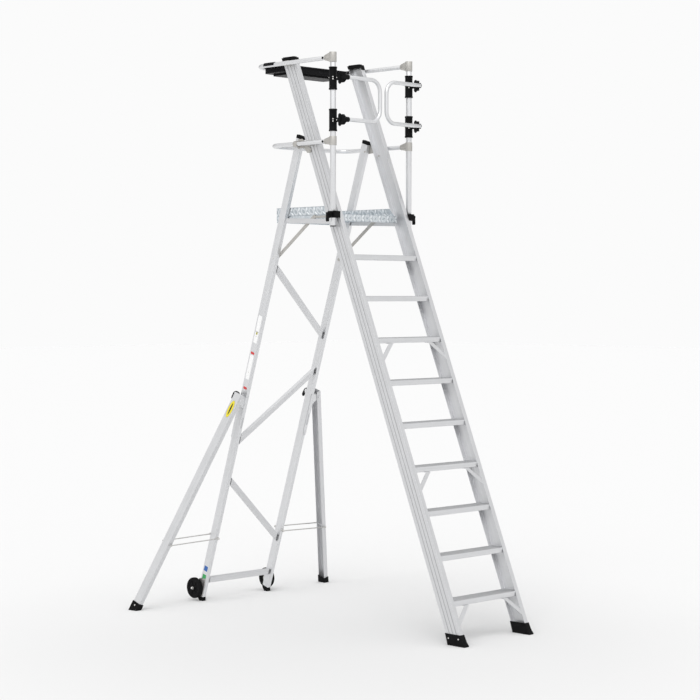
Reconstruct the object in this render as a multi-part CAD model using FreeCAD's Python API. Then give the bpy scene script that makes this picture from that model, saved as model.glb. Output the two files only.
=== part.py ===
import FreeCAD, Part
import os
import math

V = FreeCAD.Vector

# ------------------------------------------------------------------ driving dimensions, mm and degrees
STEP_PITCH = 287.0          # tread to tread, vertical
TREAD_COUNT = 9
DECK_Z = STEP_PITCH * (TREAD_COUNT + 1)

# stiles: channels open towards each other, leaning back
STILE_LEAN = 22.0
STILE_FRONT_Y = -1369.0     # front face at floor level
STILE_IN, STILE_OUT = 312.0, 347.0
STILE_DEPTH = 116.0
STILE_WALL = 3.0
STILE_TOP = 3967.0
BOOT_TOE_Y, BOOT_HEEL_Y, BOOT_TOP = -1384.0, -1232.0, 76.0
GROOVE_AT = (29.0, 58.0, 87.0)
GROOVE_W, GROOVE_DEEP = 8.0, 1.7

# treads
TREAD_H, TREAD_D, TREAD_WALL = 37.0, 115.0, 2.6
TREAD_GROOVES = 9
TREAD_GROOVE_W, TREAD_GROOVE_DEEP = 5.0, 1.2
BRACED_TREADS = (1, 4, 7)

# rear legs: rectangular tube leaning forward
LEG_LEAN = 17.96
LEG_IN, LEG_OUT = 315.0, 345.0
LEG_DEPTH, LEG_WALL = 60.0, 3.0
LEG_REAR_Y = 1331.5         # rear face at floor level
LEG_FOOT_S, LEG_TOP_S = 40.0, 3592.0

# cross braces between the rear legs: (z at left, z at right)
BRACES = {"cross_brace_upper": (2508.0, 2003.0), "cross_brace_middle": (1223.0, 1739.0),
          "cross_brace_lower": (937.0, 433.0), "bottom_bar": (163.0, 163.0)}
BRACE_W, BRACE_WALL, BRACE_OPEN = 43.0, 2.0, 16.0
BRACE_FRONT, BRACE_REAR = -20.0, 5.0    # across the leg's depth, from its middle

# wheels
WHEEL_R, WHEEL_Y, WHEEL_Z = 78.0, 1325.0, 96.5
WHEEL_IN, WHEEL_OUT = 350.0, 384.0
AXLE_R, AXLE_PLAY = 6.0, 0.05
PLATE_IN, PLATE_OUT = 345.0, 348.0

# outriggers
OUT_ANGLE = 19.03
PIVOT_U, PIVOT_S = 400.0, 1620.0
STAY_AT = 1170.0            # top pivot to stay pivot
OUT_HALF_W, OUT_HALF_D, OUT_WALL = 18.0, 34.0, 3.0
OUT_TOP = 44.0              # channel above the top pivot
STAY_U, STAY_S, STAY_N, STAY_R = 330.0, 525.0, 46.0, 4.0
SLEEVE_S0, SLEEVE_S1, SLEEVE_GAP, SLEEVE_T = 1312.0, 1642.0, 0.6, 3.4
LATCH_PIN_R = 4.0

# working platform
DECK_HALF, DECK_Y0, DECK_Y1, DECK_T = 310.0, -140.0, 465.0, 2.5
DECK_LIP, DECK_PITCH, DECK_HOLE_R = 50.0, 84.0, 11.0
CUP_R, CUP_H = 20.0, 2.0
TOE_TOP = 2926.0

# posts and rails
POST_X, POST_Y, POST_R, POST_WALL = 381.0, -186.0, 20.0, 2.5
POST_Z0, POST_Z1 = 2777.0, 3970.0
RAIL_X, RAIL_R, RAIL_WALL, RAIL_BEND = 380.0, 15.0, 2.0, 110.0
TOP_RAIL_Z, TOP_RAIL_Y = 3946.0, 627.0
MID_RAIL_Z, MID_RAIL_Y = 3368.0, 480.0
RAIL_START_Y = -128.0

# gates
GATE_Y, GATE_Z = -300.0, (3510.0, 3800.0)
GATE_FREE_X, GATE_R, GATE_WALL, GATE_BEND = 32.0, 14.0, 2.0, 85.0
GATE_END_LEFT, GATE_END_RIGHT = 356.0, 377.0
HINGE_X, HINGE_Y, HINGE_PIN_R, HINGE_PLAY = 381.0, -253.0, 6.0, 0.05
SLEEVES_Z = ((3435.0, 3588.0), (3721.0, 3878.0))


# ------------------------------------------------------------------ helpers
def rad(a):
    return math.radians(a)


TAN_STILE = math.tan(rad(STILE_LEAN))
COS_STILE = math.cos(rad(STILE_LEAN))
TAN_LEG = math.tan(rad(LEG_LEAN))
COS_LEG, SIN_LEG = math.cos(rad(LEG_LEAN)), math.sin(rad(LEG_LEAN))
COS_OUT, SIN_OUT = math.cos(rad(OUT_ANGLE)), math.sin(rad(OUT_ANGLE))
LEG_MID_Y = LEG_REAR_Y - LEG_DEPTH / 2.0 / COS_LEG


# stands the middle of the whole ladder over the origin
CENTRE = V(0, -(BOOT_TOE_Y + WHEEL_Y + WHEEL_R) / 2.0, 0)


def save(name, *solids):
    shape = solids[0].copy() if len(solids) == 1 else Part.makeCompound(list(solids))
    shape.translate(CENTRE)
    shape.exportStep("parts/%s.step" % name)


def other(shape):
    """The same piece on the other side of the ladder."""
    return shape.mirror(V(0, 0, 0), V(1, 0, 0))


def pair(name, shape):
    save(name + "_right", shape)
    save(name + "_left", other(shape))


def slab(points, vec):
    wire = Part.makePolygon(list(points) + [points[0]])
    return Part.Face(wire).extrude(vec)


def block(x0, x1, y0, y1, z0, z1):
    return Part.makeBox(x1 - x0, y1 - y0, z1 - z0, V(x0, y0, z0))


def bar(a, b, r):
    return Part.makeCylinder(r, (b - a).Length, a, b - a)


def leg_pt(u, s, n):
    """Point in the tilted plane of the rear legs: u across, s up the leg, n out of the plane (rear)."""
    return V(u, LEG_MID_Y - s * SIN_LEG + n * COS_LEG, s * COS_LEG + n * SIN_LEG)


def out_pt(p, q, n):
    """Point in the outrigger's own axes: p outward, q up from its top pivot, n to the rear."""
    return leg_pt(PIVOT_U + p * COS_OUT - q * SIN_OUT, PIVOT_S + p * SIN_OUT + q * COS_OUT, n)


LEG_N = leg_pt(0, 0, 1).sub(leg_pt(0, 0, 0))
OUT_P = out_pt(1, 0, 0).sub(out_pt(0, 0, 0))


def leg_prism(points_us, n0, n1):
    return slab([leg_pt(u, s, n0) for u, s in points_us], LEG_N * (n1 - n0))


def leg_box(u0, u1, s0, s1, n0, n1):
    return leg_prism([(u0, s0), (u1, s0), (u1, s1), (u0, s1)], n0, n1)


def out_box(p0, p1, q0, q1, n0, n1):
    pts = [out_pt(p0, q0, n0), out_pt(p1, q0, n0), out_pt(p1, q1, n0), out_pt(p0, q1, n0)]
    return slab(pts, LEG_N * (n1 - n0))


def out_side(points_qn, p0, p1):
    """Outline in the outrigger's q, n plane, carried from p0 to p1."""
    return slab([out_pt(p0, q, n) for q, n in points_qn], OUT_P * (p1 - p0))


def leg_bar(u, s, n0, n1, r):
    return bar(leg_pt(u, s, n0), leg_pt(u, s, n1), r)


def out_bar(p, q, n0, n1, r):
    return bar(out_pt(p, q, n0), out_pt(p, q, n1), r)


def stile_y(z, deep=0.0):
    return STILE_FRONT_Y + z * TAN_STILE + deep / COS_STILE


def stile_prism(points_xd, z0, z1):
    """Section of (x, depth from the front face) carried up the lean from z0 to z1."""
    pts = [V(x, stile_y(z0, d), z0) for x, d in points_xd]
    return slab(pts, V(0, (z1 - z0) * TAN_STILE, z1 - z0))


def fused(first, *rest):
    return first.fuse(list(rest)).removeSplitter()


def rounded(shape, radius, test):
    """Fillet the edges whose middle point passes the test; leave the shape as it was if that fails."""
    edges = [e for e in shape.Edges if test(e.CenterOfMass)]
    try:
        done = shape.makeFillet(radius, edges)
        return done if done.isValid() else shape
    except Exception:
        return shape


def bent_path(points, bend):
    """Straight runs joined by tangent arcs of one radius."""
    edges = []
    at = points[0]
    for i in range(1, len(points) - 1):
        a, b, c = points[i - 1], points[i], points[i + 1]
        u = (a - b).normalize()
        w = (c - b).normalize()
        half = math.acos(max(-1.0, min(1.0, u.dot(w)))) / 2.0
        cut = bend / math.tan(half)
        p0, p1 = b + u * cut, b + w * cut
        mid_dir = (u + w).normalize()
        centre = b + mid_dir * (bend / math.sin(half))
        mid = centre - mid_dir * bend
        edges.append(Part.LineSegment(at, p0).toShape())
        edges.append(Part.Arc(p0, mid, p1).toShape())
        at = p1
    edges.append(Part.LineSegment(at, points[-1]).toShape())
    return Part.Wire(edges)


def pipe(points, bend, r):
    path = bent_path(points, bend)
    ring = Part.Wire([Part.Circle(points[0], points[1] - points[0], r).toShape()])
    return path.makePipeShell([ring], True, False)


def tube(points, bend, r, wall):
    return pipe(points, bend, r).cut(pipe(points, bend, r - wall))


# ------------------------------------------------------------------ stiles
def stile_envelope(z0, z1, grow=0.0):
    d1 = STILE_DEPTH + grow
    return stile_prism([(STILE_IN, -grow), (STILE_OUT + grow, -grow), (STILE_OUT + grow, d1), (STILE_IN, d1)],
                       z0, z1)


def make_stile():
    pts = [(STILE_IN, 0.0), (STILE_OUT, 0.0)]
    for g in GROOVE_AT:
        for x, d in ((0.0, -1.0), (-GROOVE_DEEP, -0.7), (-GROOVE_DEEP, 0.7), (0.0, 1.0)):
            pts.append((STILE_OUT + x, g + d * GROOVE_W / 2.0))
    web, far = STILE_OUT - STILE_WALL, STILE_DEPTH - STILE_WALL
    pts += [(STILE_OUT, STILE_DEPTH), (STILE_IN, STILE_DEPTH), (STILE_IN, far), (web, far),
            (web, STILE_WALL), (STILE_IN, STILE_WALL)]
    return stile_prism(pts, 12.0, STILE_TOP)


def stile_inside(z0, z1):
    web, far = STILE_OUT - STILE_WALL, STILE_DEPTH - STILE_WALL
    return stile_prism([(STILE_IN - 1.0, STILE_WALL), (web, STILE_WALL), (web, far), (STILE_IN - 1.0, far)],
                       z0, z1)


def make_boot():
    top = BOOT_TOP
    outline = [(BOOT_TOE_Y, 4.0), (BOOT_TOE_Y + 4.0, 0.0), (BOOT_HEEL_Y - 2.0, 0.0), (BOOT_HEEL_Y, 4.0),
               (stile_y(top, STILE_DEPTH) + 4.0, top), (stile_y(top) - 4.0, top), (stile_y(50.0) - 6.0, 50.0),
               (stile_y(24.0) - 10.0, 24.0), (BOOT_TOE_Y, 9.0)]
    boot = slab([V(STILE_IN - 5.0, y, z) for y, z in outline], V(STILE_OUT + 10.0 - STILE_IN, 0, 0))
    boot = boot.cut(stile_envelope(12.0, top + 20.0))
    # tread pattern on the sole
    for i in range(6):
        y = BOOT_TOE_Y + 14.0 + 23.0 * i
        boot = boot.cut(block(STILE_IN - 10.0, STILE_OUT + 10.0, y, y + 6.0, -1.0, 3.0))
    return boot


def make_stile_cap():
    skirt = stile_envelope(STILE_TOP - 14.0, STILE_TOP + 22.0, 3.0)
    inner = stile_envelope(STILE_TOP - 20.0, STILE_TOP)
    lower = block(STILE_IN - 20.0, STILE_OUT + 20.0, -2000.0, 2000.0, STILE_TOP - 14.0, STILE_TOP)
    # the skirt laps the open side too
    side = stile_prism([(STILE_IN - 4.0, -3.0), (STILE_IN, -3.0), (STILE_IN, STILE_DEPTH + 3.0),
                        (STILE_IN - 4.0, STILE_DEPTH + 3.0)], STILE_TOP, STILE_TOP + 22.0)
    cap = fused(skirt.cut(inner), side)
    crown = stile_prism([(STILE_IN + 2.0, 6.0), (STILE_OUT - 4.0, 6.0), (STILE_OUT - 4.0, STILE_DEPTH - 6.0),
                         (STILE_IN + 2.0, STILE_DEPTH - 6.0)], STILE_TOP + 22.0, STILE_TOP + 28.0)
    return fused(cap, crown)


# ------------------------------------------------------------------ treads
def make_tread(i):
    top = STEP_PITCH * i
    y0 = stile_y(top)
    pts = [(0.0, -3.0), (3.0, 0.0)]
    pitch = (TREAD_D - 12.0) / TREAD_GROOVES
    for k in range(TREAD_GROOVES):
        g = 6.0 + pitch * (k + 0.5) - TREAD_GROOVE_W / 2.0
        pts += [(g, 0.0), (g + 0.8, -TREAD_GROOVE_DEEP), (g + TREAD_GROOVE_W - 0.8, -TREAD_GROOVE_DEEP),
                (g + TREAD_GROOVE_W, 0.0)]
    pts += [(TREAD_D - 1.5, 0.0), (TREAD_D, -1.5), (TREAD_D, -TREAD_H + 1.5), (TREAD_D - 1.5, -TREAD_H),
            (1.5, -TREAD_H), (0.0, -TREAD_H + 1.5)]

    def run(half):
        outer = slab([V(-half, y0 + y, top + z) for y, z in pts], V(2.0 * half, 0, 0))
        mid = TREAD_D / 2.0
        cells = []
        for a, b in ((TREAD_WALL, mid - 1.3), (mid + 1.3, TREAD_D - TREAD_WALL)):
            cells.append(block(-half - 1.0, half + 1.0, y0 + a, y0 + b,
                               top - TREAD_H + TREAD_WALL, top - TREAD_WALL - TREAD_GROOVE_DEEP))
        return outer.cut(cells)

    body = run(STILE_IN)
    long = run(STILE_OUT - STILE_WALL)
    inside = stile_inside(top - TREAD_H - 10.0, top + 10.0)
    ends = long.common(Part.makeCompound([inside, other(inside)]))
    return fused(body, *ends.Solids)


def knee_brace(top_z):
    """Flat strip behind the stile's front flange, slanting up to a bent tab under the tread."""
    thick, steep = 3.0, 1.15            # steep: run across per drop
    web = STILE_OUT - STILE_WALL - 0.5
    near, far, end = 126.0, 169.0, 5.5     # from the web: the strip's two edges at the tread, and its low end
    y_of = STILE_WALL + 0.02

    def at(d, drop, deep):
        return V(web - d, stile_y(top_z - drop, y_of + deep), top_z - drop)
    corners = [(near, 0.0), (far, 0.0), (end, (far - end) / steep), (end, (near - end) / steep)]
    strip = slab([at(d, drop, 0.0) for d, drop in corners], V(0, thick / COS_STILE, 0))
    y0 = stile_y(top_z, y_of)
    tab = block(web - far, web - near, y0, y0 + 34.0, top_z - thick, top_z)
    x_mid = web - (near + far) / 2.0
    rivet = bar(V(x_mid, y0 + 20.0, top_z - thick - 3.0), V(x_mid, y0 + 20.0, top_z - thick), 4.0)
    d, drop = 22.0, (near + far - 44.0) / 2.0 / steep
    c = at(d, drop, thick)
    normal = V(0, COS_STILE, -math.sin(rad(STILE_LEAN)))
    return fused(strip, tab, rivet, bar(c - normal * 1.0, c + normal * 3.0, 4.5))


# ------------------------------------------------------------------ rear legs
def make_leg():
    h = LEG_DEPTH / 2.0
    outer = leg_box(LEG_IN, LEG_OUT, LEG_FOOT_S, LEG_TOP_S, -h, h)
    inner = leg_box(LEG_IN + LEG_WALL, LEG_OUT - LEG_WALL, -80.0, LEG_TOP_S + 10.0, -h + LEG_WALL, h - LEG_WALL)
    leg = outer.cut(inner)
    # hole for the stay bolt
    leg = leg.cut(leg_bar(STAY_U, STAY_S, -h - 5.0, h + 5.0, 4.0))
    return leg


def make_leg_foot():
    """Wedge pad under the leg's square-cut end, with a plug up the tube."""
    h = LEG_DEPTH / 2.0
    front, rear = leg_pt(0, LEG_FOOT_S, -h), leg_pt(0, LEG_FOOT_S, h)
    outline = [(front.y - 1.5, 0.0), (rear.y - 20.0, 0.0), (rear.y - 6.0, 14.0), (rear.y + 3.0, 34.0),
               (rear.y, rear.z), (front.y, front.z)]
    foot = slab([V(LEG_IN - 1.0, y, z) for y, z in outline], V(LEG_OUT - LEG_IN + 1.0, 0, 0))
    plug = leg_box(LEG_IN + LEG_WALL, LEG_OUT - LEG_WALL, LEG_FOOT_S - 2.0, LEG_FOOT_S + 24.0,
                   -h + LEG_WALL, h - LEG_WALL)
    return fused(foot, plug)


def make_leg_cap():
    """Plastic cap whose skirt laps the leg's head, with a plug down the tube."""
    h = LEG_DEPTH / 2.0
    lap, crown = 10.0, 15.0
    cap = leg_box(LEG_IN - 1.5, LEG_OUT + 1.5, LEG_TOP_S - lap, LEG_TOP_S + crown, -h - 2.0, h + 2.0)
    cap = rounded(cap, 5.0, lambda c: c.z > (LEG_TOP_S + crown - 12.0) * COS_LEG)
    cap = cap.cut(leg_box(LEG_IN, LEG_OUT, LEG_TOP_S - lap - 5.0, LEG_TOP_S, -h, h))
    plug = leg_box(LEG_IN + LEG_WALL, LEG_OUT - LEG_WALL, LEG_TOP_S - 20.0, LEG_TOP_S, -h + LEG_WALL, h - LEG_WALL)
    return fused(cap, plug)


def make_cross_brace(z_left, z_right):
    s_l, s_r = z_left / COS_LEG, z_right / COS_LEG
    ang = math.atan2(s_r - s_l, 2.0 * LEG_IN)
    half = BRACE_W / 2.0 / math.cos(ang)
    n0, n1 = BRACE_FRONT, BRACE_REAR
    pts = [(-LEG_IN, s_l - half), (LEG_IN, s_r - half), (LEG_IN, s_r + half), (-LEG_IN, s_l + half)]
    inner = half - BRACE_WALL / math.cos(ang)
    ext = 20.0
    rise = (s_r - s_l) / (2.0 * LEG_IN) * ext
    pin = [(-LEG_IN - ext, s_l - rise - inner), (LEG_IN + ext, s_r + rise - inner),
           (LEG_IN + ext, s_r + rise + inner), (-LEG_IN - ext, s_l - rise + inner)]
    piece = leg_prism(pts, n0, n1).cut(leg_prism(pin, n0 + BRACE_WALL, n1 - BRACE_WALL))
    # front wall cut back at both ends so the rivet inside can be reached
    for side in (-1.0, 1.0):
        a, b = sorted((side * (LEG_IN - BRACE_OPEN), side * (LEG_IN + 5.0)))
        s_mid = s_l if side < 0 else s_r
        piece = piece.cut(leg_box(a, b, s_mid - 200.0, s_mid + 200.0, n0 - 1.0, n0 + BRACE_WALL))
    return piece


# ------------------------------------------------------------------ wheels
def make_wheel_bracket():
    h = LEG_DEPTH / 2.0
    tail = [(1262.0, 34.0), (1320.0, 34.0), (WHEEL_Y + 16.0, WHEEL_Z - 12.0), (WHEEL_Y + 18.0, WHEEL_Z),
            (WHEEL_Y + 12.0, WHEEL_Z + 14.0), (1290.0, 172.0), (1222.0, 172.0)]
    plate = slab([V(PLATE_IN, y, z) for y, z in tail], V(PLATE_OUT - PLATE_IN, 0, 0))
    axle = bar(V(PLATE_OUT, WHEEL_Y, WHEEL_Z), V(WHEEL_OUT + 1.0, WHEEL_Y, WHEEL_Z), AXLE_R)
    collar = bar(V(WHEEL_OUT + 1.0, WHEEL_Y, WHEEL_Z), V(WHEEL_OUT + 4.0, WHEEL_Y, WHEEL_Z), 11.0)
    nut_pts = [V(WHEEL_OUT + 4.0, WHEEL_Y + 9.0 * math.cos(rad(60 * k)), WHEEL_Z + 9.0 * math.sin(rad(60 * k)))
               for k in range(6)]
    nut = slab(nut_pts, V(8.0, 0, 0))
    dome = bar(V(WHEEL_OUT + 12.0, WHEEL_Y, WHEEL_Z), V(WHEEL_OUT + 16.0, WHEEL_Y, WHEEL_Z), 5.0)
    inner = bar(V(PLATE_OUT, WHEEL_Y, WHEEL_Z), V(PLATE_OUT + 1.2, WHEEL_Y, WHEEL_Z), 10.0)
    boss = bar(V(PLATE_IN - 6.0, WHEEL_Y, WHEEL_Z), V(PLATE_IN, WHEEL_Y, WHEEL_Z), 9.0)
    parts = [axle, collar, nut, dome, inner, boss]
    for y, z in ((1285.0, 66.0), (1262.0, 140.0)):
        parts.append(bar(V(PLATE_OUT, y, z), V(PLATE_OUT + 1.0, y, z), 5.0))
    return fused(plate, *parts)


def revolve_x(points_xr, y, z):
    pts = [V(x, y + r, z) for x, r in points_xr]
    face = Part.Face(Part.makePolygon(pts + [pts[0]]))
    return face.revolve(V(0, y, z), V(1, 0, 0), 360)


def make_wheel_hub():
    bore = AXLE_R + AXLE_PLAY
    w0, w1 = WHEEL_IN, WHEEL_OUT
    prof = [(w0, bore), (w1, bore), (w1, 17.0), (w1 - 4.0, 20.0), (w1 - 9.0, 24.0), (w1 - 9.0, 50.0),
            (w1 - 4.0, 55.0), (w1 - 3.0, 62.0), (w0 + 3.0, 62.0), (w0 + 4.0, 55.0), (w0 + 9.0, 50.0),
            (w0 + 9.0, 24.0), (w0 + 4.0, 20.0), (w0, 17.0)]
    hub = revolve_x(prof, WHEEL_Y, WHEEL_Z)
    ribs = []
    for k in range(6):
        rib = Part.makeBox(w1 - w0 - 10.0, 34.0, 5.0, V(w0 + 5.0, WHEEL_Y + 20.0, WHEEL_Z - 2.5))
        rib.rotate(V(0, WHEEL_Y, WHEEL_Z), V(1, 0, 0), 60.0 * k)
        ribs.append(rib)
    return fused(hub, *ribs)


def make_tyre():
    w0, w1 = WHEEL_IN, WHEEL_OUT
    prof = [(w0 + 3.0, 62.0), (w1 - 3.0, 62.0), (w1 - 1.0, 64.0), (w1, 70.0), (w1 - 3.0, 75.0),
            (w1 - 8.0, WHEEL_R), (w0 + 8.0, WHEEL_R), (w0 + 3.0, 75.0), (w0, 70.0), (w0 + 1.0, 64.0)]
    return revolve_x(prof, WHEEL_Y, WHEEL_Z)


# ------------------------------------------------------------------ outriggers
def make_slider():
    h = LEG_DEPTH / 2.0 + SLEEVE_GAP
    u0, u1 = 319.0, LEG_OUT + SLEEVE_GAP
    wrap = leg_box(u0, u1 + SLEEVE_T, SLEEVE_S0, SLEEVE_S1, -h - SLEEVE_T, h + SLEEVE_T)
    wrap = wrap.cut(leg_box(u0 - 5.0, u1, SLEEVE_S0 - 5.0, SLEEVE_S1 + 5.0, -h, h))
    # cut away the lower rear corner and make the long round-ended slot in the front and rear cheeks
    for side in (-1.0, 1.0):
        n0, n1 = sorted((side * (h - 1.0), side * (h + SLEEVE_T + 1.0)))
        wrap = wrap.cut(leg_prism([(u0 - 1.0, SLEEVE_S0 - 1.0), (336.0, SLEEVE_S0 - 1.0),
                                   (u0 - 1.0, SLEEVE_S0 + 46.0)], n0, n1))
        slot = fused(leg_bar(333.0, SLEEVE_S0 + 92.0, n0, n1, 6.0), leg_bar(333.0, SLEEVE_S0 + 168.0, n0, n1, 6.0),
                     leg_box(327.0, 339.0, SLEEVE_S0 + 92.0, SLEEVE_S0 + 168.0, n0, n1))
        wrap = wrap.cut(slot)
    face = u1 + SLEEVE_T
    ear = leg_prism([(face, 1555.0), (face, SLEEVE_S1 - 2.0), (PIVOT_U, PIVOT_S + 12.0), (PIVOT_U, PIVOT_S - 12.0)],
                    -29.0, 29.0)
    ear = fused(ear, leg_bar(PIVOT_U, PIVOT_S, -29.0, 29.0, 12.0))
    ear = ear.cut(leg_prism([(face + 6.0, 1572.0), (face + 6.0, SLEEVE_S1 - 10.0), (PIVOT_U - 14.0, PIVOT_S + 8.0),
                             (PIVOT_U - 14.0, PIVOT_S - 10.0)], -24.0, 24.0))
    d = OUT_HALF_D
    pin = leg_bar(PIVOT_U, PIVOT_S, -d - 1.0, d + 1.0, 5.0)
    heads = [leg_bar(PIVOT_U, PIVOT_S, d + 0.6, d + 5.0, 9.0), leg_bar(PIVOT_U, PIVOT_S, -d - 5.0, -d - 0.6, 9.0)]
    # rear tongue of the outer cheek, with the pin the catch lever turns on
    tongue = slab([leg_pt(u1, s, n) for s, n in ((1560.0, h), (SLEEVE_S1, h), (LATCH_S + 10.0, LATCH_N - 6.0),
                                                  (LATCH_S + 8.0, LATCH_N + 8.0), (LATCH_S - 8.0, LATCH_N + 8.0))],
                  V(SLEEVE_T, 0, 0))
    c0, c1 = leg_pt(u1, LATCH_S, LATCH_N), leg_pt(LEG_OUT + 24.0, LATCH_S, LATCH_N)
    latch_pin = bar(c0, c1, LATCH_PIN_R)
    latch_head = bar(leg_pt(LEG_OUT + 21.0, LATCH_S, LATCH_N), c1, 7.0)
    return fused(wrap, ear, pin, tongue, latch_pin, latch_head, *heads)


def make_outrigger():
    w, d, t = OUT_HALF_W, OUT_HALF_D, OUT_WALL
    low = -(PIVOT_S / COS_OUT + 60.0)
    ch = out_box(-w, w, low, OUT_TOP, -d, d)
    ch = ch.cut(out_box(-w - 1.0, w - t, low - 1.0, OUT_TOP + 1.0, -d + t, d - t))
    ch = ch.cut(block(500.0, 1500.0, 800.0, 1800.0, -300.0, 12.0))
    ch = ch.cut(out_bar(0.0, 0.0, -d - 5.0, d + 5.0, 5.05))
    # stay bolt with low heads, clear of the stay's own eye
    bolt = fused(out_bar(0.0, -STAY_AT, -d, d, 4.0), out_bar(0.0, -STAY_AT, -d - 2.5, -d, 8.0),
                 out_bar(0.0, -STAY_AT, d, d + 2.5, 8.0))
    return fused(ch, bolt)


def make_outrigger_foot():
    w, d = OUT_HALF_W, OUT_HALF_D
    floor = block(500.0, 1500.0, 800.0, 1800.0, -300.0, 0.0)
    envelope = out_box(-w, w, -1900.0, OUT_TOP, -d, d).cut(block(500.0, 1500.0, 800.0, 1800.0, -300.0, 12.0))
    low = -(PIVOT_S / COS_OUT)
    boot = out_box(-w - 4.5, w + 4.5, low - 60.0, low + 60.0, -d - 4.5, d + 4.5).cut(floor).cut(envelope)
    rivet = bar(out_pt(w + 4.5, low + 36.0, 0.0), out_pt(w + 6.0, low + 36.0, 0.0), 5.0)
    return fused(boot, rivet)


# pivot of the slider's catch lever, in the legs' plane axes
LATCH_S, LATCH_N = 1640.0, 70.0


def make_latch():
    """Crank behind the slider: short arm over the slider's top edge, thumb blade hanging at the back."""
    s, n = LATCH_S, LATCH_N
    u0, u1 = LEG_OUT + 5.0, LEG_OUT + 20.0
    arm_pts = [(s + 6.0, n), (s + 12.0, n - 30.0), (s + 8.0, n - 33.0), (s - 4.0, n - 2.0)]
    blade_pts = [(s + 5.0, n - 2.0), (s + 6.0, n + 3.0), (s - 2.0, n + 15.0), (s - 46.0, n + 25.0), (s - 55.0, n + 24.0),
                 (s - 56.0, n + 17.0), (s - 12.0, n + 5.0), (s - 5.0, n - 3.0)]
    vec = leg_pt(u1, 0, 0).sub(leg_pt(u0, 0, 0))
    solids = [slab([leg_pt(u0, a, b) for a, b in pts], vec) for pts in (arm_pts, blade_pts)]
    barrel = bar(leg_pt(u0, s, n), leg_pt(u1, s, n), 8.5)
    return fused(barrel, *solids).cut(bar(leg_pt(u0 - 5.0, s, n), leg_pt(u1 + 5.0, s, n), LATCH_PIN_R + 0.05))


def make_stays():
    stays = []
    q = out_pt(0.0, -STAY_AT, 0.0)
    for side in (-1.0, 1.0):
        n = STAY_N * side
        shift = LEG_N * n
        a, b = leg_pt(STAY_U, STAY_S, n), q + shift
        along = (b - a).normalize()
        rod_ = bar(a + along * 8.0, b - along * 8.0, STAY_R)
        eyes = [bar(leg_pt(STAY_U, STAY_S, n - 3.0), leg_pt(STAY_U, STAY_S, n + 3.0), 9.0),
                bar(q + LEG_N * (n - 3.0), q + LEG_N * (n + 3.0), 8.0)]
        head = bar(q + LEG_N * (n + 3.0 * side), q + LEG_N * (n + 7.0 * side), 6.0)
        boss = bar(q + LEG_N * (side * (OUT_HALF_D + 3.5)), q + LEG_N * (n - 3.0 * side), 5.5)
        piece = fused(rod_, eyes[0], eyes[1], head, boss)
        piece = piece.cut(leg_bar(STAY_U, STAY_S, n - 6.0, n + 6.0, 4.05))
        stays.append(piece)
    return stays


# ------------------------------------------------------------------ platform
def make_deck():
    t = DECK_T
    x1 = DECK_HALF - 2.0
    deck = block(-x1, x1, DECK_Y0, DECK_Y1, DECK_Z - t, DECK_Z)
    lips = [block(-x1, x1, DECK_Y0, DECK_Y0 + t, DECK_Z - DECK_LIP, DECK_Z - t),
            block(-x1, x1, DECK_Y0 + t, DECK_Y0 + 14.0, DECK_Z - DECK_LIP, DECK_Z - DECK_LIP + t),
            block(-x1, x1, DECK_Y1 - t, DECK_Y1, DECK_Z - DECK_LIP, DECK_Z - t),
            block(-x1, -x1 + t, DECK_Y0 + t, DECK_Y1 - t, DECK_Z - 30.0, DECK_Z - t),
            block(x1 - t, x1, DECK_Y0 + t, DECK_Y1 - t, DECK_Z - 30.0, DECK_Z - t)]
    cups, holes = [], []
    rows = int((DECK_Y1 - DECK_Y0) / DECK_PITCH)
    y_start = (DECK_Y0 + DECK_Y1) / 2.0 - (rows - 1) * DECK_PITCH / 2.0
    for i in range(-3, 4):
        for j in range(rows):
            x, y = i * DECK_PITCH, y_start + j * DECK_PITCH
            cups.append(Part.makeCone(CUP_R, DECK_HOLE_R + 2.0, CUP_H, V(x, y, DECK_Z)))
            holes.append(Part.makeCylinder(DECK_HOLE_R, 12.0, V(x, y, DECK_Z - 6.0)))
        z = DECK_Z - DECK_LIP / 2.0
        x = i * DECK_PITCH
        cups.append(Part.makeCone(CUP_R - 2.0, DECK_HOLE_R, CUP_H, V(x, DECK_Y0, z), V(0, -1, 0)))
        holes.append(Part.makeCylinder(DECK_HOLE_R - 3.0, 12.0, V(x, DECK_Y0 + 6.0, z), V(0, -1, 0)))
    return deck.fuse(lips).fuse(cups).cut(holes).removeSplitter()


def make_toe_boards():
    t = 2.0
    x1 = DECK_HALF
    side = [(-118.0, DECK_Z - 6.0), (DECK_Y1, DECK_Z - 6.0), (DECK_Y1, TOE_TOP), (-62.0, TOE_TOP)]
    left = slab([V(-x1, y, z) for y, z in side], V(t, 0, 0))
    right = slab([V(x1 - t, y, z) for y, z in side], V(t, 0, 0))
    rear = block(-x1, x1, DECK_Y1, DECK_Y1 + t, DECK_Z - 30.0, TOE_TOP)
    return fused(left, right, rear)


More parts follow.
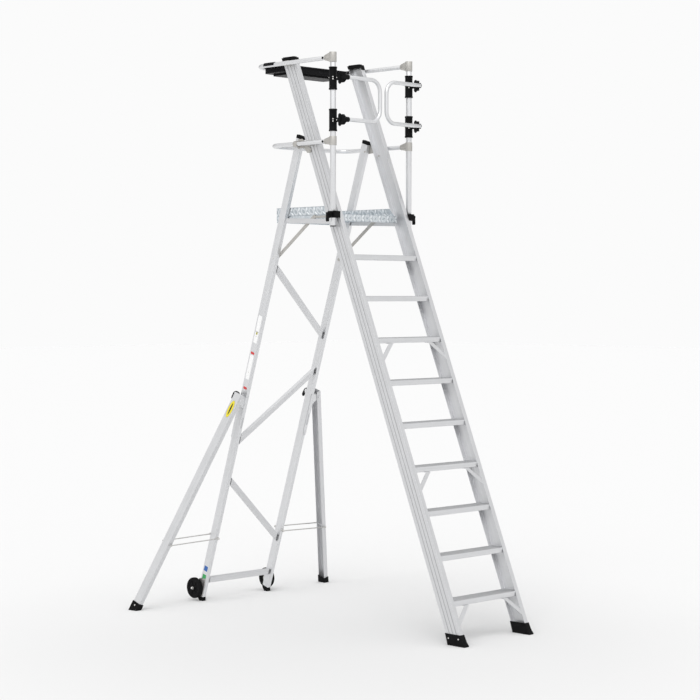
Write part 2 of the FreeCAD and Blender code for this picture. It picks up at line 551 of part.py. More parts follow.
def side_bar():
    x0, x1 = 316.0, 334.0
    h = LEG_DEPTH / 2.0
    z_leg, z_stile, tall = 2833.5, 2817.0, 35.0
    y_leg = 344.0
    y_st = stile_y(z_stile, STILE_DEPTH) - 30.0
    slope = (z_leg - z_stile) / (350.0 + 90.0)

    def zc(y):
        return z_stile + (y + 90.0) * slope
    y_a, y_b = y_st, y_leg + 40.0
    pts = [(y_a, zc(y_a) - tall / 2.0), (y_b, zc(y_b) - tall / 2.0), (y_b, zc(y_b) + tall / 2.0),
           (y_a, zc(y_a) + tall / 2.0)]
    solid = slab([V(x0, y, z) for y, z in pts], V(x1 - x0, 0, 0))
    t = 2.0
    ipts = [(y_a - 5.0, zc(y_a - 5.0) - tall / 2.0 + t), (y_b + 5.0, zc(y_b + 5.0) - tall / 2.0 + t),
            (y_b + 5.0, zc(y_b + 5.0) + tall / 2.0 - t), (y_a - 5.0, zc(y_a - 5.0) + tall / 2.0 - t)]
    hollow = solid.cut(slab([V(x0 + t, y, z) for y, z in ipts], V(x1 - x0 - 2.0 * t, 0, 0)))
    hollow = hollow.cut(leg_box(300.0, 360.0, 2700.0, 3300.0, -h, h + 200.0))
    # inner wall cut back at the leg so its rivet can be reached
    hollow = hollow.cut(leg_box(300.0, x0 + t, 2700.0, 3300.0, -h - 18.0, h))
    return hollow.cut(stile_envelope(2700.0, 2950.0, 0.0).fuse(stile_prism(
        [(STILE_IN - 10.0, -60.0), (STILE_OUT + 10.0, -60.0), (STILE_OUT + 10.0, STILE_DEPTH),
         (STILE_IN - 10.0, STILE_DEPTH)], 2700.0, 2950.0)))


def platform_brace():
    """Flat strut from the leg up to the deck, then a link forward to the stile."""
    x0, x1 = 311.0, 315.0
    a, b, w = (464.0, 2567.0), (72.0, 2856.0), 25.0
    ln = math.hypot(b[0] - a[0], b[1] - a[1])
    nx, nz = -(b[1] - a[1]) / ln * w / 2.0, (b[0] - a[0]) / ln * w / 2.0
    pts = [(a[0] + nx, a[1] + nz), (b[0] + nx, b[1] + nz), (b[0] - nx, b[1] - nz), (a[0] - nx, a[1] - nz)]
    strut = slab([V(x0, y, z) for y, z in pts], V(x1 - x0, 0, 0))
    strut = fused(strut, bar(V(x0, a[0], a[1]), V(x1, a[0], a[1]), w / 2.0),
                  bar(V(x0, b[0], b[1]), V(x1, b[0], b[1]), w / 2.0))
    y_st = stile_y(2853.0, STILE_DEPTH) - 20.0
    link = block(x0, x1, y_st, b[0], 2846.0, 2860.0)
    link = link.cut(stile_prism([(STILE_IN - 10.0, -60.0), (STILE_OUT + 10.0, -60.0),
                                 (STILE_OUT + 10.0, STILE_DEPTH), (STILE_IN - 10.0, STILE_DEPTH)], 2700.0, 2950.0))
    pin = bar(V(x0 - 2.5, b[0], b[1]), V(x0, b[0], b[1]), 7.0)
    foot_pin = bar(V(x0 - 3.0, a[0], a[1]), V(x0, a[0], a[1]), 7.0)
    return fused(strut, link, pin, foot_pin)


# ------------------------------------------------------------------ posts and rails
def make_post():
    post = bar(V(POST_X, POST_Y, POST_Z0 + 6.0), V(POST_X, POST_Y, POST_Z1), POST_R)
    post = post.cut(bar(V(POST_X, POST_Y, POST_Z0), V(POST_X, POST_Y, POST_Z1 + 5.0), POST_R - POST_WALL))
    return post


def post_plug():
    plug = bar(V(POST_X, POST_Y, POST_Z0), V(POST_X, POST_Y, POST_Z0 + 6.0), POST_R + 0.5)
    stem = bar(V(POST_X, POST_Y, POST_Z0 + 6.0), V(POST_X, POST_Y, POST_Z0 + 30.0), POST_R - POST_WALL)
    return fused(plug, stem)


def rail_points(z, y_back):
    return [V(-RAIL_X, RAIL_START_Y, z), V(-RAIL_X, y_back, z), V(RAIL_X, y_back, z), V(RAIL_X, RAIL_START_Y, z)]


def rail_casting(z, top, post_z0, post_z1):
    """Socket casting that joins a rail to its post, with a web under the rail."""
    r_out = POST_R + 5.0
    sleeve = bar(V(POST_X, POST_Y, post_z0), V(POST_X, POST_Y, post_z1), r_out)
    socket = bar(V(POST_X, POST_Y, z), V(POST_X, -114.0, z), RAIL_R + 4.5)
    low, high, nose = post_z0 + 3.0, post_z1 - 3.0, RAIL_R + 2.0
    taper = slab([V(POST_X - 15.0, y, w) for y, w in
                  ((POST_Y, low), (POST_Y + r_out - 4.0, low), (-116.0, z - nose), (-116.0, z + nose),
                   (POST_Y + r_out - 4.0, high), (POST_Y, high))], V(30.0, 0, 0))
    body = fused(sleeve, socket, taper)
    end = POST_Z1 if top else post_z1 + 5.0
    body = body.cut(bar(V(POST_X, POST_Y, post_z0 - 5.0), V(POST_X, POST_Y, end), POST_R))
    body = body.cut(bar(V(RAIL_X, RAIL_START_Y, z), V(RAIL_X, -100.0, z), RAIL_R))
    bolt = bar(V(POST_X + 17.0, -122.0, z), V(POST_X + 24.0, -122.0, z), 6.0)
    return fused(body, bolt)


def rail_saddle(z):
    """Spacer block between the stile's web and the rail where they cross."""
    y_mid = stile_y(z, STILE_DEPTH / 2.0)
    half = 24.0
    pad = block(STILE_OUT, RAIL_X, y_mid - half, y_mid + half, z - 17.0, z + 17.0)
    cap_zone = stile_envelope(STILE_TOP - 15.0, STILE_TOP + 40.0, 3.4)
    return pad.cut([bar(V(RAIL_X, y_mid - 60.0, z), V(RAIL_X, y_mid + 60.0, z), RAIL_R), cap_zone])


def leg_head_bracket():
    """Ring round the middle rail with a plate that ties the leg's head to the stile."""
    z = MID_RAIL_Z
    y0, y1 = 168.0, 202.0
    ring = bar(V(RAIL_X, y0, z), V(RAIL_X, y1, z), RAIL_R + 6.0)
    stem = block(STILE_OUT, RAIL_X, y0, y1, z - 14.0, z + 14.0)
    ring = fused(ring, stem).cut(bar(V(RAIL_X, y0 - 5.0, z), V(RAIL_X, y1 + 5.0, z), RAIL_R))
    x0, x1 = STILE_OUT, STILE_OUT + 4.0
    plate_pts = [(62.0, 3328.0), (68.0, 3304.0), (104.0, 3302.0), (140.0, 3340.0), (200.0, 3336.0),
                 (206.0, 3352.0), (196.0, 3404.0), (156.0, 3404.0), (130.0, 3378.0)]
    plate = slab([V(x0, y, w) for y, w in plate_pts], V(x1 - x0, 0, 0))
    pad = slab([V(LEG_OUT, y, w) for y, w in ((178.0, 3338.0), (198.0, 3338.0), (194.0, 3376.0), (174.0, 3376.0))],
               V(STILE_OUT - LEG_OUT, 0, 0))
    heads = [bar(V(x1, y, w), V(x1 + 5.0, y, w), 6.0) for y, w in ((78.0, 3316.0), (194.0, 3346.0))]
    inner = [bar(V(STILE_OUT - STILE_WALL - 5.0, 78.0, 3316.0), V(STILE_OUT - STILE_WALL, 78.0, 3316.0), 6.0),
             bar(V(LEG_IN - 5.0, 192.0, 3352.0), V(LEG_IN, 192.0, 3352.0), 7.0)]
    return [fused(plate, ring, pad, *heads)] + inner


# ------------------------------------------------------------------ gates
def arm(z_mid):
    """Fixed half of a gate hinge: arm from the post sleeve to an eye round the pin."""
    limb = block(HINGE_X - 9.0, HINGE_X + 9.0, HINGE_Y, POST_Y - POST_R - 3.0, z_mid - 15.0, z_mid + 15.0)
    eye = bar(V(HINGE_X, HINGE_Y, z_mid - 15.0), V(HINGE_X, HINGE_Y, z_mid + 15.0), 13.0)
    return fused(limb, eye).cut(bar(V(HINGE_X, HINGE_Y, z_mid - 20.0), V(HINGE_X, HINGE_Y, z_mid + 20.0),
                                    HINGE_PIN_R + HINGE_PLAY))


def hinge_sleeve(k):
    z0, z1 = SLEEVES_Z[k]
    r = 27.0
    body = bar(V(POST_X, POST_Y, z0), V(POST_X, POST_Y, z1), r)
    body = body.fuse([bar(V(POST_X, POST_Y, z0), V(POST_X, POST_Y, z0 + 10.0), r + 2.0),
                      bar(V(POST_X, POST_Y, z1 - 10.0), V(POST_X, POST_Y, z1), r + 2.0),
                      arm(GATE_Z[k])]).removeSplitter()
    body = body.cut(bar(V(POST_X, POST_Y, z0 - 5.0), V(POST_X, POST_Y, z1 + 5.0), POST_R))
    screws = [bar(V(POST_X + r - 2.0, POST_Y, z), V(POST_X + r + 2.0, POST_Y, z), 4.0)
              for z in (z0 + 28.0, z1 - 28.0)]
    return fused(body, *screws)


def make_gate_tube(end_x):
    low, high = GATE_Z
    pts = [V(end_x, GATE_Y, low), V(GATE_FREE_X, GATE_Y, low), V(GATE_FREE_X, GATE_Y, high), V(end_x, GATE_Y, high)]
    return tube(pts, GATE_BEND, GATE_R, GATE_WALL)


def gate_knuckle(z, end_x, open_front):
    """Moving half of a gate hinge: pin with ball ends, two knuckles, and the socket for the gate tube."""
    gap, tall = 0.6, 20.0
    parts = [bar(V(HINGE_X, HINGE_Y, z - 36.0), V(HINGE_X, HINGE_Y, z + 36.0), HINGE_PIN_R)]
    for side in (-1.0, 1.0):
        a, b = sorted((z + side * (15.0 + gap), z + side * (15.0 + gap + tall)))
        parts.append(bar(V(HINGE_X, HINGE_Y, a), V(HINGE_X, HINGE_Y, b), 12.0))
        parts.append(block(HINGE_X - 12.0, HINGE_X + 4.0, -281.0, HINGE_Y, a, b))
        parts.append(Part.makeSphere(9.0, V(HINGE_X, HINGE_Y, z + side * 36.0)))
    tall, low = 35.6, 18.0
    web = slab([V(x, -286.0, z + w) for x, w in ((HINGE_X - 12.0, -tall), (HINGE_X + 4.0, -tall), (HINGE_X + 4.0, tall),
                                                 (HINGE_X - 12.0, tall), (350.0, low), (350.0, -low))], V(0, 14.0, 0))
    parts += [web, bar(V(346.0, GATE_Y, z), V(HINGE_X + 3.0, GATE_Y, z), GATE_R + 4.0)]
    body = fused(parts[0], *parts[1:])
    if open_front:
        # this socket is a half shell: its tube shows in front up to its end plug
        body = body.cut(block(340.0, 400.0, GATE_Y - 30.0, GATE_Y - 4.0, z - 25.0, z + 25.0))
        body = body.fuse(bar(V(end_x, GATE_Y, z), V(end_x + 4.0, GATE_Y, z), GATE_R)).removeSplitter()
    return body.cut(bar(V(340.0, GATE_Y, z), V(end_x, GATE_Y, z), GATE_R))


# ------------------------------------------------------------------ tray
def rounded_box(x0, x1, y0, y1, z0, z1, r):
    b = block(x0, x1, y0, y1, z0, z1)
    edges = [e for e in b.Edges if abs(e.Vertexes[0].Z - e.Vertexes[-1].Z) > (z1 - z0) / 2.0]
    return b.makeFillet(r, edges)


def make_tray():
    rim_z, low_z = 3950.0, 3900.0
    x1, y0, y1 = 328.0, 366.0, 606.0
    t = 4.0
    rim = rounded_box(-x1, x1, y0, y1, rim_z - 8.0, rim_z, 38.0)
    shell = rounded_box(-x1 + 10.0, x1 - 10.0, y0 + 10.0, y1 - 10.0, low_z, rim_z, 30.0)
    deep = rounded_box(-x1 + 70.0, x1 - 70.0, y0 + 34.0, y1 - 34.0, low_z - 14.0, low_z + 4.0, 24.0)
    body = fused(rim, shell, deep)
    hole = rounded_box(-x1 + 10.0 + t, x1 - 10.0 - t, y0 + 10.0 + t, y1 - 10.0 - t, low_z + t, rim_z + 5.0, 26.0)
    deep_hole = rounded_box(-x1 + 70.0 + t, x1 - 70.0 - t, y0 + 34.0 + t, y1 - 34.0 - t, low_z - 14.0 + t,
                            low_z + 10.0, 20.0)
    body = body.cut([hole, deep_hole])
    # hooks over the rail at the rear, and side hooks
    z = TOP_RAIL_Z
    extra = []
    for x in (-190.0, 190.0):
        hook = bar(V(x - 22.0, TOP_RAIL_Y, z), V(x + 22.0, TOP_RAIL_Y, z), RAIL_R + 5.0)
        neck = block(x - 22.0, x + 22.0, y1 - 6.0, TOP_RAIL_Y, z - 12.0, z + 4.0)
        extra += [hook, neck]
    y_front, y_rear = 408.0, 512.0
    for side in (-1.0, 1.0):
        hook = bar(V(side * RAIL_X, y_front, z), V(side * RAIL_X, y_rear, z), RAIL_R + 4.0)
        a, b = sorted((side * (x1 - 4.0), side * RAIL_X))
        lower = block(side * RAIL_X - 30.0, side * RAIL_X + 30.0, y_front - 5.0, y_rear + 5.0, z - 30.0, z - 6.0)
        extra += [hook.cut(lower), block(a, b, y_front, y_rear, z - 6.0, z + 4.0)]
    body = fused(body, *extra)
    cutters = []
    for x in (-190.0, 190.0):
        cutters.append(bar(V(x - 40.0, TOP_RAIL_Y, z), V(x + 40.0, TOP_RAIL_Y, z), RAIL_R))
    for side in (-1.0, 1.0):
        cutters.append(bar(V(side * RAIL_X, y_front - 5.0, z), V(side * RAIL_X, y_rear + 5.0, z), RAIL_R))
    return body.cut(cutters)


# ------------------------------------------------------------------ post clamps
CLAMP_Z = (2837.0, 2884.0)
LEVER_PIN = (424.0, 2866.0)


def post_clamp():
    z0, z1 = CLAMP_Z
    body = block(STILE_OUT, 402.0, POST_Y - 38.0, POST_Y + 36.0, z0, z1)
    body = rounded(body, 6.0, lambda c: abs(c.z - (z0 + z1) / 2.0) < 1.0 and c.x > 390.0)
    ears = []
    zc = LEVER_PIN[1]
    for side in (-1.0, 1.0):
        a, b = sorted((POST_Y + side * 12.6, POST_Y + side * 18.0))
        ears.append(block(400.0, LEVER_PIN[0], a, b, zc - 10.0, zc + 10.0))
        ears.append(bar(V(LEVER_PIN[0], a, zc), V(LEVER_PIN[0], b, zc), 10.0))
    pin = bar(V(LEVER_PIN[0], POST_Y - 20.0, zc), V(LEVER_PIN[0], POST_Y + 20.0, zc), 4.0)
    body = fused(body, *ears)
    body = body.cut(bar(V(POST_X, POST_Y, z0 - 5.0), V(POST_X, POST_Y, z1 + 5.0), POST_R))
    return fused(body, pin)


def clamp_lever():
    x, z = LEVER_PIN
    pts = [(x - 9.0, z), (x - 6.0, z + 9.0), (x + 8.0, z + 9.0), (x + 14.0, z + 4.0), (x + 16.0, z - 50.0),
           (x + 12.0, z - 56.0), (x + 6.0, z - 54.0), (x + 4.0, z - 10.0), (x - 4.0, z - 10.0)]
    lev = slab([V(a, POST_Y - 12.0, b) for a, b in pts], V(0, 24.0, 0))
    return lev.cut(bar(V(x, POST_Y - 20.0, z), V(x, POST_Y + 20.0, z), 4.05))


# ------------------------------------------------------------------ fasteners on the fixed frame
def fasteners():
    out = []
    # boot rivets
    for y, z in ((stile_y(47.0, 100.0), 47.0), (stile_y(49.0, 18.0), 49.0)):
        out.append(bar(V(STILE_OUT + 5.0, y, z), V(STILE_OUT + 7.0, y, z), 5.0))
    # stay bolt through the leg, with spacers and heads
    h = LEG_DEPTH / 2.0
    near, far = STAY_N - 3.4, STAY_N + 3.4
    bolt = fused(leg_bar(STAY_U, STAY_S, -far - 1.0, far + 1.0, 4.0), leg_bar(STAY_U, STAY_S, far, far + 5.0, 7.5),
                 leg_bar(STAY_U, STAY_S, -far - 5.0, -far, 7.5), leg_bar(STAY_U, STAY_S, h, near, 7.5),
                 leg_bar(STAY_U, STAY_S, -near, -h, 7.5))
    out.append(bolt)
    # bolt head of the platform brace on the leg's outer face
    out.append(bar(V(LEG_OUT, 466.0, 2567.0), V(LEG_OUT + 4.0, 466.0, 2567.0), 6.0))
    out.append(bar(V(STILE_OUT, stile_y(2830.0, 88.0), 2830.0), V(STILE_OUT + 3.0, stile_y(2830.0, 88.0), 2830.0), 6.0))
    # rivets on the leg at the ends of the cross braces
    for name in sorted(BRACES):
        z = BRACES[name][1]
        s = z / COS_LEG
        c = leg_pt(LEG_OUT, s, 0.0)
        if z > 300.0:
            out.append(bar(c, c + V(0.25 if z < 2200.0 else 2.0, 0, 0), 5.0))
    return out


# ------------------------------------------------------------------ build
os.makedirs("parts", exist_ok=True)

pair("stile", make_stile())
for i in range(1, TREAD_COUNT + 1):
    save("tread_%d" % i, make_tread(i))
knees = [knee_brace(STEP_PITCH * i - TREAD_H) for i in BRACED_TREADS]
save("knee_braces", *(knees + [other(k) for k in knees]))
pair("stile_boot", make_boot())
caps = [make_stile_cap(), make_leg_cap(), post_plug()]
save("end_caps", *(caps + [other(c) for c in caps]))

save("platform_deck", make_deck())
save("toe_boards", make_toe_boards())
save("platform_side_bars", side_bar(), other(side_bar()))
save("platform_braces", platform_brace(), other(platform_brace()))

pair("rear_leg", make_leg())
save("leg_feet", make_leg_foot(), other(make_leg_foot()))
for name in BRACES:
    save(name, make_cross_brace(*BRACES[name]))
pair("wheel_bracket", make_wheel_bracket())
pair("wheel_hub", make_wheel_hub())
pair("tyre", make_tyre())

pair("outrigger_slider", make_slider())
pair("outrigger", make_outrigger())
pair("outrigger_foot", make_outrigger_foot())
pair("outrigger_latch", make_latch())
stays = make_stays()
save("outrigger_stays_right", *stays)
save("outrigger_stays_left", *[other(s) for s in stays])

pair("post", make_post())
save("top_rail", tube(rail_points(TOP_RAIL_Z, TOP_RAIL_Y), RAIL_BEND, RAIL_R, RAIL_WALL))
save("mid_rail", tube(rail_points(MID_RAIL_Z, MID_RAIL_Y), RAIL_BEND, RAIL_R, RAIL_WALL))
castings = [rail_casting(TOP_RAIL_Z, True, 3912.0, 3981.0), rail_casting(MID_RAIL_Z, False, 3339.0, 3400.0)]
save("rail_castings", *(castings + [other(c) for c in castings]))
brackets = [rail_saddle(TOP_RAIL_Z), rail_saddle(MID_RAIL_Z)] + leg_head_bracket()
save("rail_brackets", *(brackets + [other(b) for b in brackets]))

sleeves = [hinge_sleeve(0), hinge_sleeve(1)]
save("hinge_sleeves", *(sleeves + [other(s) for s in sleeves]))
save("gate_tube_right", make_gate_tube(GATE_END_RIGHT))
save("gate_tube_left", other(make_gate_tube(GATE_END_LEFT)))
save("gate_hinge_right", *[gate_knuckle(z, GATE_END_RIGHT, True) for z in GATE_Z])
save("gate_hinge_left", *[other(gate_knuckle(z, GATE_END_LEFT, False)) for z in GATE_Z])

save("tool_tray", make_tray())
save("post_clamps", post_clamp(), other(post_clamp()))
pair("clamp_lever", clamp_lever())
fast = fasteners()
save("frame_fasteners", *(fast + [other(f) for f in fast]))
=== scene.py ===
"""Looks of the rolling warehouse ladder: materials, stickers, rivets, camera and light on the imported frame."""
import math

import bmesh
import bpy
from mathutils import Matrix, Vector


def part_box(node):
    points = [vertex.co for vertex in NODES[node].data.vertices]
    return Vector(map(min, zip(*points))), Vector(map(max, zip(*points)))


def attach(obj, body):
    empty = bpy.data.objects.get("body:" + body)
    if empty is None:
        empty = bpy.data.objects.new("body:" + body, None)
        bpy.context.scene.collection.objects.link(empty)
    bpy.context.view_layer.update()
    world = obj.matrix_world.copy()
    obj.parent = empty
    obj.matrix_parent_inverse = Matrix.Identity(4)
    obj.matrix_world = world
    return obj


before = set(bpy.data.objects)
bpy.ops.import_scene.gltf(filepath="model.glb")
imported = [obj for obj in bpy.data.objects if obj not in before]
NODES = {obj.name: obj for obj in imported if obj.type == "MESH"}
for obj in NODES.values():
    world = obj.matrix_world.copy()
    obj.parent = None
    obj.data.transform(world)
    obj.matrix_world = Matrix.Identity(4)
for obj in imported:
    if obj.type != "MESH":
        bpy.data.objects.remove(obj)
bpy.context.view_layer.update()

# ------------------------------------------------------------------ directions, as in the CAD
ACROSS, DEPTH, UP = Vector((1, 0, 0)), Vector((0, 1, 0)), Vector((0, 0, 1))
SIDES = {"left": -1.0, "right": 1.0}
STILE_LEAN, LEG_LEAN = math.radians(22.0), math.radians(17.96)
OUT_SPREAD = math.radians(19.03)                # how far the outriggers lean outwards
UP_STILE = Vector((0.0, math.sin(STILE_LEAN), math.cos(STILE_LEAN)))
ACROSS_WEB = Vector((0.0, UP_STILE.z, -UP_STILE.y)).normalized()
UP_LEG = Vector((0.0, -math.sin(LEG_LEAN), math.cos(LEG_LEAN)))
LEG_REAR = Vector((0.0, math.cos(LEG_LEAN), math.sin(LEG_LEAN)))

# ------------------------------------------------------------------ places on the ladder, in metres, from the CAD
LEG_MID = Vector((0.0, 1.29046, 0.0))           # middle of the legs' depth at floor level
LEG_OUT_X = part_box("rear_leg_right")[1].x
PIVOT_U, PIVOT_S = 0.400, 1.620                 # top pivot of the outriggers, across and up the leg
POST_X, POST_Y, SLEEVE_R = 0.381, -0.1955, 0.027
HINGE_HEIGHTS = (3.510, 3.800)
WHEEL_Y, WHEEL_Z = 1.3155, 0.0965
RAIL_X, RAIL_BOLT_OUT, RAIL_BOLT_Y, RAIL_BOLT_HEIGHTS = 0.380, 0.0145, -0.106, (3.946, 3.368)

GROOVE_PITCH = 0.029                            # the stiles' three grooves, counted from the front edge of the web
GROOVE_SHADE_FULL, GROOVE_SHADE_GONE = 0.0030, 0.0044     # painted shade fades between these distances from a groove's middle
GROOVE_BAND = (0.036, 0.037)                    # and ends this far from the middle groove
WEB_SKIN = (0.0024, 0.0020)                     # depth below the web's outer face where it fades in

DECK_LOW, DECK_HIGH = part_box("platform_deck")
TOE_LOW, TOE_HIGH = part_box("toe_boards")
SHEET_T, LIP_TALL, LIP_FRONT = 0.002, 0.050, -0.1495
DECK_TOP, BOARD_SUNK = 2.870, 0.006             # the toe boards start a little below the deck's top
BOARD_LOW, BOARD_TALL = DECK_TOP - BOARD_SUNK, TOE_HIGH.z - DECK_TOP + BOARD_SUNK
BOARD_FRONT, BOARD_REAR = TOE_LOW.y, TOE_HIGH.y - SHEET_T
BOARD_LONG = BOARD_REAR - BOARD_FRONT
FRONT_SLANT = 0.056 / BOARD_TALL                # the side boards' front edge slants back by this for each metre up

DISH_PITCH, DISH_R, DISH_RIM = 0.084, 0.021, 0.008
LUG_TALL, LUG_LONG, LUG_WIDE = 0.0042, 0.020, 0.010
RELIEF_STEP, RELIEF_EDGE, RELIEF_LIFT, RELIEF_SKIN = 0.0035, 0.004, 0.0003, 0.0005

# ------------------------------------------------------------------ tones
SATIN, POLISHED = (0.38, 0.52), (0.27, 0.38)    # least and most roughness
ALUMINIUM = ((0.725, 0.73, 0.74), (0.625, 0.63, 0.643))         # light and dark streaks
LEG_ALUMINIUM = ((0.775, 0.78, 0.79), (0.67, 0.675, 0.69))
TREAD_ALUMINIUM = ((0.74, 0.745, 0.755), (0.655, 0.66, 0.673))
TUBE_ALUMINIUM = ((0.76, 0.765, 0.775), (0.67, 0.675, 0.688))
# the second and third tones here are painted shade: on faces that look up, and in the stiles' grooves
SCRATCH, TOP_SHADE_TONE, GROOVE_SHADE_TONE = (0.76, 0.765, 0.775), (0.30, 0.303, 0.31), (0.34, 0.342, 0.35)
WHITE, RED, OLIVE = (0.90, 0.90, 0.90), (0.62, 0.045, 0.045), (0.40, 0.36, 0.06)
BLUE, GREEN = (0.020, 0.12, 0.42), (0.035, 0.36, 0.10)
RIM_GREY, FIELD_YELLOW, BAR_BLACK = (0.35, 0.35, 0.35), (0.78, 0.66, 0.02), (0.010, 0.010, 0.010)


# ------------------------------------------------------------------ shader helpers
def is_socket(value):
    return isinstance(value, bpy.types.NodeSocket)


class Nodes:
    """A node tree whose nodes are added with one call each."""

    def __init__(self, tree):
        self.tree = tree

    def add(self, kind, values=None, **settings):
        made = self.tree.nodes.new(kind)
        for key, value in settings.items():
            setattr(made, key, value)
        for key, value in (values or {}).items():
            if is_socket(value):
                self.tree.links.new(value, made.inputs[key])
            else:
                made.inputs[key].default_value = value
        return made

    def math(self, operation, first, second=0.0):
        return self.add("ShaderNodeMath", {0: first, 1: second}, operation=operation).outputs[0]

    def along(self, place, direction):
        """How far a place lies along a direction."""
        return self.add("ShaderNodeVectorMath", {0: place, 1: direction}, operation="DOT_PRODUCT").outputs["Value"]

    def axis(self, place, letter):
        return self.add("ShaderNodeSeparateXYZ", {0: place}).outputs[letter]

    def span(self, value, low, high, start=0.0, end=1.0, curve="LINEAR"):
        """low where the value is start or less, high where it is end or more, and a ramp between."""
        return self.add("ShaderNodeMapRange", {"Value": value, "From Min": start, "From Max": end,
                                               "To Min": low, "To Max": high},
                        interpolation_type=curve).outputs["Result"]

    def vary(self, noise, low, high):
        """low to high over the middle range that a noise mostly keeps to."""
        return self.span(noise, low, high, 0.3, 0.7)


class Shader(Nodes):
    """A Principled material, worked out from places on the object."""

    def __init__(self, name, **sockets):
        self.mat = bpy.data.materials.new(name)
        self.mat.use_nodes = True
        super().__init__(self.mat.node_tree)
        self.out = self.tree.nodes["Principled BSDF"]
        for key, value in sockets.items():
            self.out.inputs[key.replace("_", " ")].default_value = value
        where = self.add("ShaderNodeTexCoord").outputs
        self.place, self.facing = where["Object"], where["Normal"]

    def stretch(self, along, size, length):
        """Coordinates that count one unit per size across and one per length along a direction."""
        turn = along.to_track_quat("Z", "Y").to_euler()
        return self.add("ShaderNodeMapping", {"Vector": self.place, "Rotation": turn,
                                              "Scale": (size, size, length)},
                        vector_type="TEXTURE").outputs["Vector"]

    def noise(self, scale, detail, place=None, roughness=0.5, distortion=0.0):
        return self.add("ShaderNodeTexNoise", {"Vector": place or self.place, "Scale": scale, "Detail": detail,
                                               "Roughness": roughness, "Distortion": distortion}).outputs["Fac"]

    def cells(self, scale, output):
        return self.add("ShaderNodeTexVoronoi", {"Vector": self.place, "Scale": scale}).outputs[output]

    def blend(self, amount, first, second):
        first, second = (c if is_socket(c) else (*c, 1.0) for c in (first, second))
        return self.add("ShaderNodeMix", {0: amount, 6: first, 7: second}, data_type="RGBA").outputs[2]

    def bump(self, height, depth, strength, under=None):
        values = {"Height": height, "Distance": depth, "Strength": strength}
        if under is not None:
            values["Normal"] = under
        return self.add("ShaderNodeBump", values).outputs["Normal"]

    def wire(self, tone, roughness=None, normal=None):
        """Link what was worked out to the shader, and give the material."""
        for key, value in (("Base Color", tone), ("Roughness", roughness), ("Normal", normal)):
            if value is not None:
                self.tree.links.new(value, self.out.inputs[key])
        return self.mat


# ------------------------------------------------------------------ materials
def clouding(s):
    return s.noise(7.0, 4.0, roughness=0.6)


def painted_top_shade(s, tone):
    """Painted shade on faces that look up, a little patchy."""
    upward = s.span(s.axis(s.facing, "Z"), 0.0, 0.72, 0.3, 0.9)
    return s.blend(s.math("MULTIPLY", upward, s.vary(clouding(s), 0.8, 1.0)), tone, TOP_SHADE_TONE)


def painted_groove_shade(s, tone):
    """Painted shade in the three grooves on the outside of a stile's web."""
    low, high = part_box("stile_right")
    front = ACROSS_WEB.dot(Vector((0.0, low.y, low.z)))
    deep = s.math("SUBTRACT", s.along(s.place, ACROSS_WEB), front)
    to_groove = s.math("PINGPONG", deep, GROOVE_PITCH / 2)
    to_middle = s.math("ABSOLUTE", s.math("SUBTRACT", deep, GROOVE_PITCH * 2))
    out = s.math("ABSOLUTE", s.axis(s.place, "X"))
    groove_shade = s.math("MULTIPLY", s.span(to_groove, 1.0, 0.0, GROOVE_SHADE_FULL, GROOVE_SHADE_GONE),
                  s.span(to_middle, 1.0, 0.0, *GROOVE_BAND))
    groove_shade = s.math("MULTIPLY", groove_shade, s.span(out, 0.0, 0.75, *(high.x - skin for skin in WEB_SKIN)))
    return s.blend(groove_shade, tone, GROOVE_SHADE_TONE)


def extruded(name, along, tones=ALUMINIUM, rough=SATIN, painted_shade=None):
    """Satin extruded aluminium: die lines along the length, soft clouding, and a few long scratches."""
    s = Shader(name, Metallic=0.82, Specular_IOR_Level=0.5)
    light, dark = tones
    lines = s.noise(1.0, 3.0, s.stretch(along, 0.0011, 0.30), 0.65)
    bands = s.noise(1.0, 2.0, s.stretch(along, 0.009, 1.3))
    cloud, fine = clouding(s), s.noise(900.0, 2.0)
    stray = s.noise(1.0, 2.0, s.stretch(along + Vector((0.04, 0.05, 0.03)), 0.0006, 0.05), 0.7)
    mixed = s.math("ADD", s.math("MULTIPLY", lines, 0.45), s.math("MULTIPLY", bands, 0.55))
    tone = s.blend(s.vary(mixed, 0.0, 1.0), dark, light)
    tone = s.blend(s.span(cloud, 0.0, 0.35, 0.40, 0.72), tone, light)
    tone = s.blend(s.span(stray, 0.0, 0.25, 0.66, 0.74), tone, SCRATCH)
    # where a function is given, it paints shade into the tone
    if painted_shade:
        tone = painted_shade(s, tone)
    gloss = s.math("ADD", s.vary(cloud, *rough), s.vary(lines, -0.05, 0.05))
    height = s.math("ADD", lines, s.math("MULTIPLY", fine, 0.25))
    return s.wire(tone, gloss, s.bump(height, depth=0.00012, strength=0.5))


def cast(name):
    """Die-cast aluminium, warmer and grainy."""
    s = Shader(name, Metallic=0.75)
    grain, patch = s.noise(650.0, 4.0, roughness=0.65), s.noise(26.0, 4.0, roughness=0.6)
    tone = s.blend(s.vary(patch, 0.0, 1.0), (0.47, 0.455, 0.43), (0.56, 0.55, 0.525))
    tone = s.blend(s.span(grain, 0.0, 0.25, 0.55, 0.75), tone, (0.38, 0.37, 0.355))
    height = s.math("ADD", grain, s.math("MULTIPLY", patch, 1.6))
    return s.wire(tone, s.vary(patch, 0.42, 0.58), s.bump(height, depth=0.00025, strength=0.7))


def plated(name, tint=1.0):
    """Zinc-plated steel: cloudy, with small bright flecks."""
    s = Shader(name, Metallic=0.9)
    dull, clear = (tuple(v * tint for v in c) for c in ((0.50, 0.49, 0.475), (0.63, 0.625, 0.61)))
    cloud = s.noise(60.0, 5.0, roughness=0.62, distortion=0.8)
    tone = s.blend(s.vary(cloud, 0.0, 1.0), dull, clear)
    tone = s.blend(s.span(s.cells(420.0, "Distance"), 0.18, 0.0, 0.0, 0.5), tone, (0.75, 0.75, 0.75))
    return s.wire(tone, s.vary(cloud, 0.28, 0.46), s.bump(cloud, depth=0.0002, strength=0.5))


